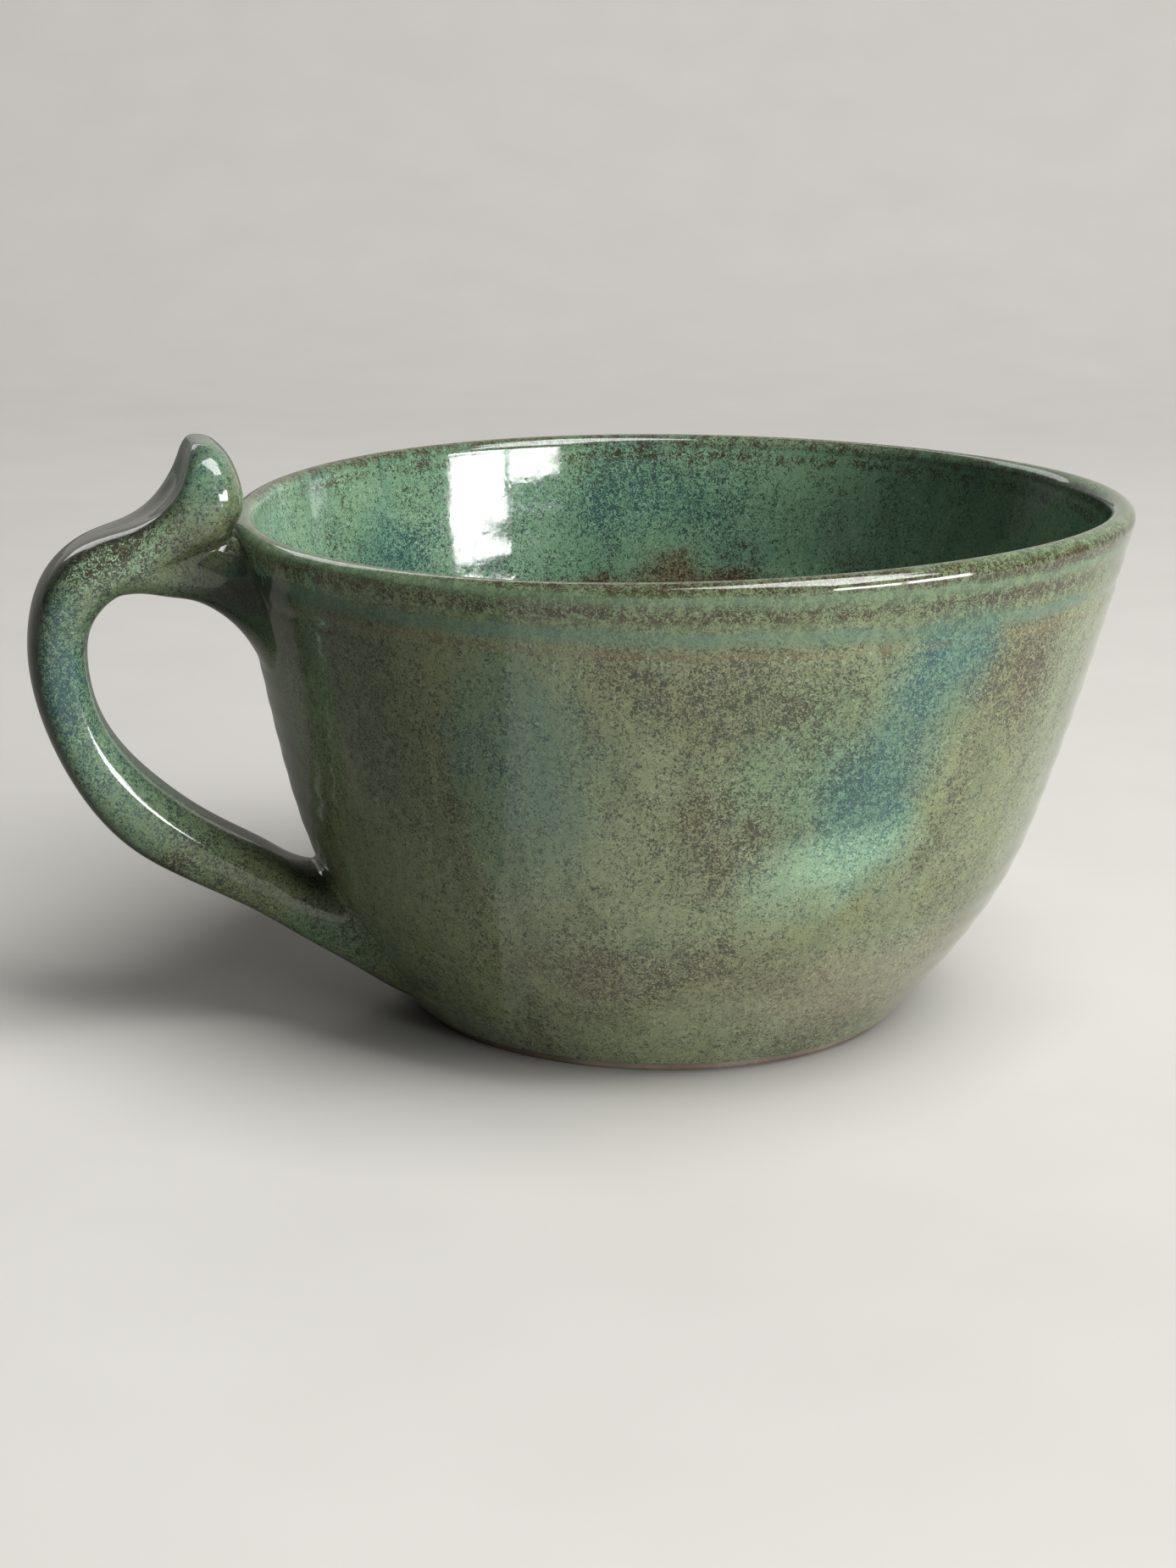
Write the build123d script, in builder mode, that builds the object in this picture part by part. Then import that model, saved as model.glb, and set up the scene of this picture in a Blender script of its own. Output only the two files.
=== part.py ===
from build123d import *
import os
from math import cos, hypot, pi, sin

# A hand-thrown stoneware mug: a wide, low bowl with one pulled strap handle and a thumb rest.
# Millimetres. The origin is on the bowl's axis, at the plane that the foot rests on. +Z is up,
# and the handle points along -X. Sizes are those of the glazed, fired mug.

# Bowl
rim_radius = 57.5
height = 66.4
belly_radius = 49.9
belly_height = 32.4
shoulder_radius = 45.9
shoulder_height = 20.7
base_radius = 33.4
base_flare = 0.75  # run for each unit of rise where the wall leaves the foot
rim_flare = 0.2  # the same at the rim
base_round = 1.2
lip_thickness = 3.2
belly_wall = 4.2
shoulder_wall = 5.2
well_radius = 22.0
well_height = 8.4

# Turned foot ring, left bare
foot_inset = 1.6  # from the wall's foot line in to the outside of the foot ring
foot_height = 1.6
foot_ring_width = 5.0
foot_recess = 2.6
foot_edge = 0.5

# Glaze, fused on as a coat of glass
glaze_thickness = 0.4

# Handle: a pulled strap, bent into an ear. Reaches are measured out from the rim's radius.
handle_reach = 22.1
crown_share = 0.5  # of the handle's reach, out to the crown of the ear
crown_below_rim = 5.7
root_below_crown = 5.2
lower_root_height = 8.0
root_depth = 6.0
loop_width = 14.0
loop_thickness = 7.1
upper_root_width = 18.5
upper_root_thickness = 11.5
lower_root_width = 16.5
lower_root_thickness = 10.0
strap_squareness = 0.72  # 1 gives an ellipse across the strap, and less a flatter one
strap_steps = 16

# Thumb rest: a leaf of clay on top of the strap, curled up and dished for the thumb
rest_width = 19.0
rest_length = 19.6
rest_rise = 8.9
rest_lean = 3.7
rest_tip = 1.7
rest_curl_radius = 21.0
rest_toe_inset = 1.0
rest_toe_drop = 1.0
rest_heel_inset = 3.9
rest_heel_rise = 2.9
rest_bed_inset = 6.0
rest_bed_drop = 3.2
rest_bed_gap = 1.0
rest_back_lean = 0.9
rest_back_rise = 3.0
rest_dish_depth = 1.1
rest_dish_share = 0.62  # of the way along the curl, from heel to tip
rest_dish_radius = 13.0

# Clay smoothed round each attachment. Starts and ends are shares of the handle's length.
coil_feather = 0.5
coil_steps = 5
upper_coil_start = 0.03
upper_coil_end = 0.15
upper_coil_side = 2.4
upper_coil_drop = 5.5
lower_coil_start = 0.86
lower_coil_end = 0.98
lower_coil_side = 2.6
lower_coil_rise = 0.8

foot_radius = base_radius - foot_inset

os.makedirs("parts", exist_ok=True)

# Bowl section: the right half, in the XZ plane
lip_radius = lip_thickness / 2
lip_height = height - lip_radius
lip_middle = rim_radius - lip_radius

with BuildLine() as glazed_wall:
    Spline(
        (base_radius, foot_height),
        (shoulder_radius, shoulder_height),
        (belly_radius, belly_height),
        (rim_radius, lip_height),
        tangents=[(base_flare, 1.0), (rim_flare, 1.0)],
    )

with BuildLine() as glazed_hollow:
    Spline(
        (rim_radius - lip_thickness, lip_height),
        (belly_radius - belly_wall, belly_height),
        (shoulder_radius - shoulder_wall, shoulder_height),
        (well_radius, well_height),
        tangents=[(-rim_flare, -1.0), (-1.0, 0.0)],
    )


def under_glaze(curve, depth, share):
    """Point of a wall's curve, moved into the clay by a depth."""
    point, along = curve @ share, curve % share
    return (point.X - depth * along.Y, point.Y + depth * along.X)


def draw_outside(depth):
    """Foot line, outer wall and lip at a depth under the glaze's surface, from axis to lip."""
    shares = (0.15, 0.3, 0.5, 0.7, 0.85)
    base = (
        base_radius + base_flare * depth - depth * hypot(base_flare, 1.0),
        foot_height + depth,
    )
    Line((0, foot_height + depth), base)
    Spline(
        base,
        *[under_glaze(glazed_wall.line, depth, share) for share in shares],
        (rim_radius - depth, lip_height),
        tangents=[(base_flare, 1.0), (rim_flare, 1.0)],
    )
    ThreePointArc(
        (rim_radius - depth, lip_height),
        (lip_middle, height - depth),
        (rim_radius - lip_thickness + depth, lip_height),
    )


def draw_inside(depth):
    """Inner wall and floor at a depth under the glaze's surface, from lip to axis."""
    shares = (0.15, 0.3, 0.5, 0.7, 0.85)
    Spline(
        (rim_radius - lip_thickness + depth, lip_height),
        *[under_glaze(glazed_hollow.line, depth, share) for share in shares],
        (well_radius, well_height - depth),
        tangents=[(-rim_flare, -1.0), (-1.0, 0.0)],
    )
    Line((well_radius, well_height - depth), (0, well_height - depth))


def wall_radius(level):
    """Outside radius of the glazed bowl at a height above the resting plane."""
    low, high = 0.0, 1.0
    for _ in range(30):
        middle = (low + high) / 2
        if (glazed_wall.line @ middle).Y < level:
            low = middle
        else:
            high = middle
    return (glazed_wall.line @ low).X


with BuildSketch(Plane.XZ) as glazed_section:
    with BuildLine():
        draw_outside(0)
        draw_inside(0)
        Line((0, well_height), (0, foot_height))
    make_face()
    fillet(glazed_section.vertices().group_by(Axis.Y)[0].sort_by(Axis.X)[-1], base_round)

with BuildSketch(Plane.XZ) as clay_section:
    with BuildLine():
        draw_outside(glaze_thickness)
        draw_inside(glaze_thickness)
        Line((0, well_height - glaze_thickness), (0, foot_height + glaze_thickness))
    make_face()
    fillet(clay_section.vertices().group_by(Axis.Y)[0].sort_by(Axis.X)[-1], base_round)

with BuildSketch(Plane.XZ) as foot_section:
    with Locations((foot_radius - foot_ring_width / 2, foot_height)):
        Rectangle(foot_ring_width, 2 * foot_height)

with BuildSketch(Plane.XZ) as recess_section:
    with Locations(((foot_radius - foot_ring_width) / 2, foot_recess / 2)):
        Rectangle(foot_radius - foot_ring_width, foot_recess)

# The liner glaze lies on this side of a line inside the clay, which starts at the lip's middle
above_rim = height + lip_thickness
with BuildSketch(Plane.XZ) as hollow_side:
    with BuildLine():
        draw_inside(lip_radius)
        Polyline((0, well_height - lip_radius), (0, above_rim), (lip_middle, above_rim), (lip_middle, lip_height))
    make_face()

# Bowl: wall, floor and foot ring, turned from one lump of clay
with BuildPart() as bowl:
    with BuildSketch(Plane.XZ):
        add(clay_section.sketch)
        add(foot_section.sketch)
        add(recess_section.sketch, mode=Mode.SUBTRACT)
    revolve(axis=Axis.Z)
    fillet(bowl.edges().filter_by(GeomType.CIRCLE).group_by(Axis.Z)[0], foot_edge)

# The bowl with its hollow filled past the rim, which the handle's pieces are cut back to
with BuildPart() as filled_bowl:
    with BuildSketch(Plane.XZ):
        with BuildLine():
            draw_outside(glaze_thickness)
            Line((rim_radius - lip_thickness + glaze_thickness, lip_height), (0, lip_height))
            Line((0, lip_height), (0, foot_height + glaze_thickness))
        make_face()
        with Locations((lip_middle / 2, height)):
            Rectangle(lip_middle, 2 * lip_thickness)
    revolve(axis=Axis.Z)


# Handle
def strap_outline(width, thickness):
    """Curve round a pulled strap: a soft rectangle, flattest on its two broad faces."""
    steps = 12
    points = []
    for step in range(steps):
        turn = 2 * pi * step / steps
        across, through = cos(turn), sin(turn)
        points.append(
            (
                width / 2 * abs(across) ** strap_squareness * (1 if across > 0 else -1),
                thickness / 2 * abs(through) ** strap_squareness * (1 if through > 0 else -1),
            )
        )
    Spline(*points, periodic=True)


crown_height = height - crown_below_rim
outermost = rim_radius + handle_reach
upper_root_height = crown_height - root_below_crown
upper_root_radius = wall_radius(upper_root_height) - root_depth
lower_root_radius = wall_radius(lower_root_height) - root_depth / 3


def on_ear(across, down):
    """Point of the ear, by its share of the way from lower root to outermost, and crown to root."""
    return (
        -(lower_root_radius + across * (outermost - lower_root_radius)),
        crown_height - down * (crown_height - lower_root_height),
    )


with BuildLine(Plane.XZ) as handle_line:
    Spline(
        (-upper_root_radius, upper_root_height),
        (-(rim_radius + crown_share * handle_reach), crown_height),
        on_ear(0.96, 0.094),
        on_ear(1.0, 0.239),
        on_ear(0.901, 0.492),
        on_ear(0.557, 0.735),
        on_ear(0.0, 1.0),
    )


def square_to_handle(share, drop=0.0):
    """Plane across the handle's line at a share of its length, moved towards the hand hole."""
    point, along = handle_line.line @ share, handle_line.line % share
    across = Plane(origin=point, x_dir=(0, 1, 0), z_dir=along)
    return Plane(origin=point + across.y_dir * drop, x_dir=(0, 1, 0), z_dir=along)


# Along the handle's line: share of its length, then the strap's width and thickness there
strap_sizes = [
    (0.0, upper_root_width, upper_root_thickness),
    (0.18, 15.2, 8.6),
    (0.37, loop_width, 7.4),
    (0.47, loop_width, loop_thickness),
    (0.6, loop_width, loop_thickness),
    (0.84, 15.2, 8.0),
    (1.0, lower_root_width, lower_root_thickness),
]


def strap_size(share):
    """Width and thickness of the strap at a share of the handle's length."""
    for (low, *at_low), (high, *at_high) in zip(strap_sizes, strap_sizes[1:]):
        if share <= high:
            part_way = (share - low) / (high - low)
            return [a + part_way * (b - a) for a, b in zip(at_low, at_high)]
    return strap_sizes[-1][1:]


# Each piece of the handle starts as a blank that runs into the bowl, and is then cut back to it
with BuildPart() as strap_blank:
    for step in range(strap_steps + 1):
        share = step / strap_steps
        with BuildSketch(square_to_handle(share)):
            with BuildLine():
                strap_outline(*strap_size(share))
            make_face()
    loft()

with BuildPart() as handle:
    add(strap_blank.part)
    add(filled_bowl.part, mode=Mode.SUBTRACT)

# Coils: clay smoothed round each attachment, from a feather edge on the strap to a flare on the wall
with BuildPart() as upper_coil_blank:
    for step in range(coil_steps + 1):
        share = upper_coil_start + step * (upper_coil_end - upper_coil_start) / coil_steps
        flare = (1 - step / coil_steps) ** 2
        drop = flare * upper_coil_drop
        width, thickness = strap_size(share)
        with BuildSketch(square_to_handle(share, drop / 2)):
            with BuildLine():
                strap_outline(
                    width + 2 * (coil_feather + flare * upper_coil_side),
                    thickness + 2 * coil_feather + drop,
                )
            make_face()
    loft()

with BuildPart() as upper_coil:
    add(upper_coil_blank.part)
    add(filled_bowl.part, mode=Mode.SUBTRACT)
    add(strap_blank.part, mode=Mode.SUBTRACT)

with BuildPart() as lower_coil_blank:
    for step in range(coil_steps + 1):
        share = lower_coil_start + step * (lower_coil_end - lower_coil_start) / coil_steps
        flare = (step / coil_steps) ** 2
        width, thickness = strap_size(share)
        with BuildSketch(square_to_handle(share)):
            with BuildLine():
                strap_outline(
                    width + 2 * (coil_feather + flare * lower_coil_side),
                    thickness + 2 * (coil_feather + flare * lower_coil_rise),
                )
            make_face()
    loft()

with BuildPart() as lower_coil:
    add(lower_coil_blank.part)
    add(filled_bowl.part, mode=Mode.SUBTRACT)
    add(strap_blank.part, mode=Mode.SUBTRACT)

# Thumb rest: side outline, then its leaf outline as seen along the handle, then the dish
rest_top = height + rest_rise
tip_middle = rim_radius + rest_lean
tip_side = rest_top - rest_tip / 2
toe = (-(outermost - rest_toe_inset), crown_height - rest_toe_drop)
heel = (-(outermost - rest_heel_inset), crown_height + rest_heel_rise)
bed_outer = (-(outermost - rest_bed_inset), crown_height - rest_bed_drop)
bed_inner = (-(rim_radius + rest_bed_gap), crown_height)
back = (-(rim_radius - rest_back_lean), height + rest_back_rise)

with BuildLine(Plane.XZ) as curl_line:
    RadiusArc(heel, (-(tip_middle + rest_tip), tip_side), -rest_curl_radius)

curl = curl_line.edge()
curl_middle = curl @ rest_dish_share
to_curl_centre = (curl.arc_center - curl_middle).normalized()
dish_centre = curl_middle + to_curl_centre * (rest_dish_radius - rest_dish_depth)

with BuildPart() as rest_blank:
    with BuildSketch(Plane.XZ):
        with BuildLine():
            Line(toe, heel)
            RadiusArc(heel, (-(tip_middle + rest_tip), tip_side), -rest_curl_radius)
            ThreePointArc(
                (-(tip_middle + rest_tip), tip_side),
                (-tip_middle, rest_top),
                (-(tip_middle - rest_tip), tip_side),
            )
            Spline((-(tip_middle - rest_tip), tip_side), back, bed_inner)
            Polyline(bed_inner, bed_outer, toe)
        make_face()
    extrude(amount=rest_width / 2, both=True)
    with BuildSketch(Plane.YZ):
        with Locations((0, rest_top - rest_length / 2)):
            Ellipse(rest_width / 2, rest_length / 2)
    extrude(amount=-2 * outermost, mode=Mode.INTERSECT)
    with Locations(dish_centre):
        Sphere(rest_dish_radius, mode=Mode.SUBTRACT)

with BuildPart() as thumb_rest:
    add(rest_blank.part)
    add(filled_bowl.part, mode=Mode.SUBTRACT)
    add(strap_blank.part, mode=Mode.SUBTRACT)
    add(upper_coil_blank.part, mode=Mode.SUBTRACT)

# Glaze coats: they meet at the middle of the lip, and the outer one stops at the bare foot
with BuildPart() as outer_glaze:
    with BuildSketch(Plane.XZ):
        add(glazed_section.sketch)
        add(clay_section.sketch, mode=Mode.SUBTRACT)
        add(hollow_side.sketch, mode=Mode.SUBTRACT)
        with Locations((foot_radius / 2, foot_height)):
            Rectangle(foot_radius, 4 * glaze_thickness, mode=Mode.SUBTRACT)
    revolve(axis=Axis.Z)
    for blank in (strap_blank, upper_coil_blank, lower_coil_blank, rest_blank):
        add(blank.part, mode=Mode.SUBTRACT)

with BuildPart() as liner_glaze:
    with BuildSketch(Plane.XZ):
        add(glazed_section.sketch)
        add(clay_section.sketch, mode=Mode.SUBTRACT)
        add(hollow_side.sketch, mode=Mode.INTERSECT)
    revolve(axis=Axis.Z)

bowl.part.label = "bowl"
handle.part.label = "handle"
upper_coil.part.label = "upper_coil"
lower_coil.part.label = "lower_coil"
thumb_rest.part.label = "thumb_rest"
outer_glaze.part.label = "outer_glaze"
liner_glaze.part.label = "liner_glaze"

export_step(bowl.part, "parts/bowl.step")
export_step(handle.part, "parts/handle.step")
export_step(upper_coil.part, "parts/upper_coil.step")
export_step(lower_coil.part, "parts/lower_coil.step")
export_step(thumb_rest.part, "parts/thumb_rest.step")
export_step(outer_glaze.part, "parts/outer_glaze.step")
export_step(liner_glaze.part, "parts/liner_glaze.step")
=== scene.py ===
from math import cos, pi, radians, sin

import bmesh
import bpy
import numpy as np
from mathutils import Matrix, Vector


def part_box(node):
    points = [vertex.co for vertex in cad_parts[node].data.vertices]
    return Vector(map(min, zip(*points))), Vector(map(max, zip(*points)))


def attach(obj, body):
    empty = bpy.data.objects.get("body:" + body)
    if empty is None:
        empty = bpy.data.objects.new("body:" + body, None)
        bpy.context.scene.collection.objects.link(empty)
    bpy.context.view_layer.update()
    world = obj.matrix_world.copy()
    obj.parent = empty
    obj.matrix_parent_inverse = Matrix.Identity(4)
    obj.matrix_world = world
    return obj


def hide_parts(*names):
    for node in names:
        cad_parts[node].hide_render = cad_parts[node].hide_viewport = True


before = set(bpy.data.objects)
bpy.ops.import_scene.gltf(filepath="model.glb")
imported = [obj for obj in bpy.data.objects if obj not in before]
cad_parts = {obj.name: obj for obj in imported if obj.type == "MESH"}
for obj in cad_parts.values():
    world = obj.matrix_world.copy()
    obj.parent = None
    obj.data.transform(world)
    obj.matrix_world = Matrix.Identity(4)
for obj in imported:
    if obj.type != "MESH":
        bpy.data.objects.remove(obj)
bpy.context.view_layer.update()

# A hand-thrown stoneware mug in a reactive green glaze. Lengths are in metres, and mm turns
# millimetres into them. Heights are above the foot, and the handle points along -X.
mm = 0.001

rim_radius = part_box("outer_glaze")[1][0]
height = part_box("liner_glaze")[1][2]
lip_thickness = 3.2 * mm
lip_radius = lip_thickness / 2
lip_level = height - lip_radius
glaze_thickness = 0.4 * mm
seam_gap = 0.001 * mm

# The bowl dried a little out of true: it leans towards lean_heading, and its rim waves
lean_heading = radians(-15)
lean = 2.4 * mm
rim_tilt = 1.2 * mm
rim_twist = 0.5 * mm


# ---------------------------------------------------------------- shapes


def smooth_line(knots, count, start=None, end=None):
    """count points on the smooth curve through the knots, with its slopes at the ends if given."""
    knots = np.asarray(knots, float)
    spans = np.linalg.norm(np.diff(knots, axis=0), axis=1)
    last = len(knots) - 1
    left = np.eye(len(knots))
    right = np.zeros_like(knots)
    for i in range(1, last):
        left[i, i - 1 : i + 2] = 1 / spans[i - 1], 2 / spans[i - 1] + 2 / spans[i], 1 / spans[i]
        right[i] = 3 * ((knots[i] - knots[i - 1]) / spans[i - 1] ** 2)
        right[i] += 3 * ((knots[i + 1] - knots[i]) / spans[i] ** 2)
    if start is None:
        left[0, :2] = 2, 1
        right[0] = 3 * (knots[1] - knots[0]) / spans[0]
    else:
        right[0] = np.asarray(start) / np.linalg.norm(start)
    if end is None:
        left[last, last - 1 :] = 1, 2
        right[last] = 3 * (knots[last] - knots[last - 1]) / spans[-1]
    else:
        right[last] = np.asarray(end) / np.linalg.norm(end)
    slopes = np.linalg.solve(left, right)
    at = np.concatenate([[0], np.cumsum(spans)])
    where = np.linspace(0, at[-1], count)
    span = np.clip(np.searchsorted(at, where, side="right") - 1, 0, last - 1)
    length = spans[span][:, None]
    t = ((where - at[span]) / spans[span])[:, None]
    return (
        (2 * t**3 - 3 * t**2 + 1) * knots[span]
        + (t**3 - 2 * t**2 + t) * length * slopes[span]
        + (3 * t**2 - 2 * t**3) * knots[span + 1]
        + (t**3 - t**2) * length * slopes[span + 1]
    )


def arc(middle, radius, first, last, count):
    """Points on an arc about its middle, between two angles in degrees."""
    turns = np.radians(np.linspace(first, last, count))
    return np.column_stack([middle[0] + radius * np.cos(turns), middle[1] + radius * np.sin(turns)])


def outward(line):
    """Unit vectors square to a line, on its right-hand side as it is walked."""
    along = np.gradient(line, axis=0)
    along /= np.linalg.norm(along, axis=1)[:, None]
    return np.column_stack([along[:, 1], -along[:, 0]])


def inset(line, depth):
    """The line moved to its left by a depth, which is under the surface."""
    return line - outward(line) * depth


def outer_wall(count=150):
    """Outside of the bowl as (radius, height) points, from the foot line to the lip."""
    knots = [(33.4, 1.6), (45.9, 20.7), (49.9, 32.4), (rim_radius / mm, lip_level / mm)]
    line = smooth_line(np.array(knots) * mm, count, (0.75, 1.0), (0.2, 1.0))
    below_rim = (height - line[:, 1]) / mm
    finger_mark = 0.16 * np.exp(-(((below_rim - 8.6) / 0.7) ** 2))
    finger_mark += 0.12 * np.exp(-(((below_rim - 5.2) / 0.9) ** 2))
    line[:, 0] -= finger_mark * mm
    return line


def inner_wall(count=120):
    """Inside of the bowl, from the lip to the edge of its flat floor."""
    lip = ((rim_radius - lip_thickness) / mm, lip_level / mm)
    knots = [lip, (45.7, 32.4), (40.7, 20.7), (22.0, 8.4)]
    return smooth_line(np.array(knots) * mm, count, (-0.2, -1.0), (-1.0, -0.02))


def wall_radius(levels):
    """Outside radius of the bowl at each height."""
    wall = outer_wall()
    return np.interp(levels, wall[:, 1], wall[:, 0])


def lip(count, swell=0.0):
    """Points over the lip from outside to inside, standing proud by swell."""
    middle = (rim_radius - lip_radius, lip_level)
    return arc(middle, lip_radius + swell, 0, 180, count)


def floor_line(level, count=40):
    """The floor from the edge of the well to the axis, flat."""
    radii = np.linspace(22 * mm, 0, count)
    return np.column_stack([radii, np.full(count, level)])


# ---------------------------------------------------------------- node trees


def add_node(tree, kind, inputs=None, **settings):
    """Adds a node with its settings, and sets or links its inputs."""
    node = tree.nodes.new(kind)
    for name, value in settings.items():
        setattr(node, name, value)
    for name, value in (inputs or {}).items():
        if isinstance(value, bpy.types.NodeSocket):
            tree.links.new(value, node.inputs[name])
        else:
            node.inputs[name].default_value = value
    return node


def wheel_tree():
    """Geometry nodes that throw a closed outline on the wheel, with rings left by the fingers."""
    tree = bpy.data.node_groups.new("thrown_on_the_wheel", "GeometryNodeTree")
    sockets = {
        "Outline": "NodeSocketObject",
        "Rows": "NodeSocketInt",
        "Around": "NodeSocketInt",
        "Ring Depth": "NodeSocketFloat",
        "Ring Spacing": "NodeSocketFloat",
        "Waver": "NodeSocketFloat",
        "Seed": "NodeSocketFloat",
        "Finish": "NodeSocketMaterial",
    }
    for name, kind in sockets.items():
        tree.interface.new_socket(name, in_out="INPUT", socket_type=kind)
    tree.interface.new_socket("Thrown", in_out="OUTPUT", socket_type="NodeSocketGeometry")
    given = add_node(tree, "NodeGroupInput").outputs

    def math(operation, first, second=0.0):
        return add_node(tree, "ShaderNodeMath", {0: first, 1: second}, operation=operation).outputs[0]

    def sampled(kind, value):
        inputs = {"Geometry": outline, "Value": value, "Index": row}
        node = add_node(tree, "GeometryNodeSampleIndex", inputs, data_type=kind, domain="POINT")
        return node.outputs[0]

    def stored(kind, name):
        node = add_node(tree, "GeometryNodeInputNamedAttribute", {"Name": name}, data_type=kind)
        return node.outputs["Attribute"]

    outline = add_node(tree, "GeometryNodeObjectInfo", {"Object": given["Outline"]}).outputs["Geometry"]
    columns = math("ADD", given["Around"], 1.0)
    grid = add_node(tree, "GeometryNodeMeshGrid", {"Vertices X": columns, "Vertices Y": given["Rows"]})
    index = add_node(tree, "GeometryNodeInputIndex").outputs[0]
    row = math("MODULO", index, given["Rows"])
    turned = math("DIVIDE", math("FLOOR", math("DIVIDE", index, given["Rows"])), given["Around"])
    angle = math("MULTIPLY", turned, 2 * pi)
    place = sampled("FLOAT_VECTOR", add_node(tree, "GeometryNodeInputPosition").outputs[0])
    swell = sampled("FLOAT_VECTOR", stored("FLOAT_VECTOR", "swell"))
    run = sampled("FLOAT", stored("FLOAT", "run"))
    rings = math("MULTIPLY", math("ADD", math("DIVIDE", run, given["Ring Spacing"]), turned), 2 * pi)
    rings = math("MULTIPLY", math("SINE", rings), given["Ring Depth"])

    def turned_to_place(vector):
        inputs = {"Vector": vector, "Axis": (0.0, 0.0, 1.0), "Angle": angle}
        node = add_node(tree, "ShaderNodeVectorRotate", inputs, rotation_type="AXIS_ANGLE")
        return node.outputs[0]

    spread = turned_to_place(place)
    noise_inputs = {"Vector": spread, "W": given["Seed"], "Scale": 28.0, "Detail": 1.0}
    noise = add_node(tree, "ShaderNodeTexNoise", noise_inputs, noise_dimensions="4D").outputs[0]
    waver = math("MULTIPLY", math("SUBTRACT", noise, 0.5), given["Waver"])
    amount = math("ADD", rings, waver)
    push_inputs = {0: turned_to_place(swell), "Scale": amount}
    push = add_node(tree, "ShaderNodeVectorMath", push_inputs, operation="SCALE").outputs[0]
    moved = add_node(tree, "ShaderNodeVectorMath", {0: spread, 1: push}, operation="ADD").outputs[0]
    thrown_inputs = {"Geometry": grid.outputs[0], "Position": moved}
    thrown = add_node(tree, "GeometryNodeSetPosition", thrown_inputs).outputs[0]
    closed_inputs = {"Geometry": thrown, "Distance": seam_gap}
    closed = add_node(tree, "GeometryNodeMergeByDistance", closed_inputs)
    smooth = add_node(tree, "GeometryNodeSetShadeSmooth", {"Geometry": closed.outputs[0]})
    real = add_node(tree, "GeometryNodeRealizeInstances", {"Geometry": smooth.outputs[0]})
    finish_inputs = {"Geometry": real.outputs[0], "Material": given["Finish"]}
    coloured = add_node(tree, "GeometryNodeSetMaterial", finish_inputs)
    add_node(tree, "NodeGroupOutput", {0: coloured.outputs[0]})
    return tree


def outline_object(name, line, ring_weight):
    """A closed outline as points in the XZ plane, which carry how the fingers may push each one."""
    mesh = bpy.data.meshes.new(name)
    mesh.from_pydata([(r, 0.0, z) for r, z in line], [], [])
    push = outward(line) * ring_weight[:, None]
    swell = mesh.attributes.new("swell", "FLOAT_VECTOR", "POINT")
    swell.data.foreach_set("vector", np.column_stack([push[:, 0], 0 * push[:, 0], push[:, 1]]).ravel())
    run = mesh.attributes.new("run", "FLOAT", "POINT")
    lengths = np.linalg.norm(np.diff(line, axis=0), axis=1)
    run.data.foreach_set("value", np.concatenate([[0], np.cumsum(lengths)]))
    return bpy.data.objects.new(name, mesh)


def throw(name, line, ring_weight, finish, **sizes):
    """Throws a closed outline into a plain mesh, through the wheel's nodes."""
    outline = outline_object(name + "_outline", line, ring_weight)
    lump = bpy.data.objects.new(name + "_lump", bpy.data.meshes.new(name + "_lump"))
    for obj in (outline, lump):
        bpy.context.scene.collection.objects.link(obj)
    modifier = lump.modifiers.new("wheel", "NODES")
    modifier.node_group = wheel
    values = {"Outline": outline, "Rows": len(line), "Finish": finish, **sizes}
    for item in wheel.interface.items_tree:
        if item.in_out == "INPUT":
            modifier[item.identifier] = values[item.name]
    mesh = plain_mesh(lump, name)
    for obj in (outline, lump):
        bpy.data.objects.remove(obj)
    return facing_out(mesh)


# ---------------------------------------------------------------- meshes


def plain_mesh(obj, name):
    """The object's mesh with its modifiers worked in."""
    evaluated = obj.evaluated_get(bpy.context.evaluated_depsgraph_get())
    mesh = bpy.data.meshes.new_from_object(evaluated)
    mesh.name = name
    obj.modifiers.clear()
    return mesh


def facing_out(mesh):
    """Turns every face of a closed mesh outwards."""
    shape = bmesh.new()
    shape.from_mesh(mesh)
    bmesh.ops.recalc_face_normals(shape, faces=shape.faces)
    shape.to_mesh(mesh)
    shape.free()
    return mesh


def points_of(mesh):
    """The mesh's vertices as an array."""
    points = np.empty(len(mesh.vertices) * 3, np.float32)
    mesh.vertices.foreach_get("co", points)
    return points.reshape(-1, 3).astype(float)


def move_points(mesh, points):
    """Puts the mesh's vertices at these points."""
    mesh.vertices.foreach_set("co", points.astype(np.float32).ravel())
    mesh.update()


def settle(mesh):
    """Leans and waves a piece as the whole bowl did while it dried."""
    points = points_of(mesh)
    share = np.clip(points[:, 2] / height, 0, 1)
    turn = np.arctan2(points[:, 1], points[:, 0]) - lean_heading
    wave = rim_tilt * np.cos(turn) + 0.2 * mm * np.sin(turn) - rim_twist * np.sin(2 * turn)
    points[:, 2] += wave * share**2
    points[:, 0] += lean * share * cos(lean_heading)
    points[:, 1] += lean * share * sin(lean_heading)
    move_points(mesh, points)
    return mesh


def finished(name, mesh, slot, *nodes):
    """Puts a mesh in the scene as a piece that stands for its CAD nodes."""
    piece = bpy.data.objects.new(name, settle(mesh))
    bpy.context.scene.collection.objects.link(piece)
    mesh.shade_smooth()
    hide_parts(*nodes)
    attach(piece, "root")
    return piece


# ---------------------------------------------------------------- bowl


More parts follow.
